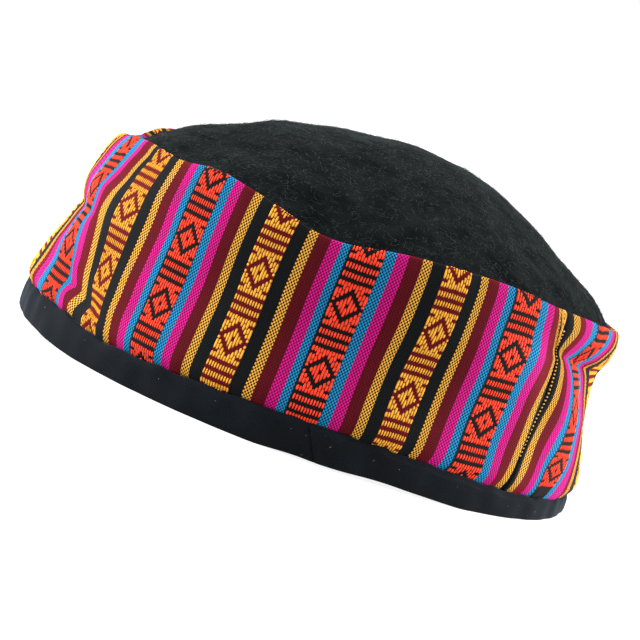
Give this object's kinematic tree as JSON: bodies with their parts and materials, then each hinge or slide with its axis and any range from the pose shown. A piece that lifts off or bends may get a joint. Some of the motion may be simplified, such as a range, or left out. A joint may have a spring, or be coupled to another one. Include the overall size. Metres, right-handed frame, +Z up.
{
  "type": "smoking cap",
  "caption": "Soft brimless cap with a low felt dome, a striped woven side band and a folded cotton rim, worn on the head.",
  "frame": {"origin": "centre of the rim on the surface that the cap rests on", "axes": "+Z up through the crown, -Y towards the front of the cap, +X towards the wearer's left"},
  "size_m": [0.1864, 0.1864, 0.0914],
  "materials": {
    "wool_felt": "matt fuzzy black wool felt",
    "woven_cotton": "matt striped cotton cloth with a raised woven diamond pattern",
    "black_cotton": "matt fine black cotton"
  },
  "bodies": {
    "root": {"crown": "wool_felt", "side_band": "woven_cotton", "rim_band": "black_cotton"}
  },
  "joints": []
}
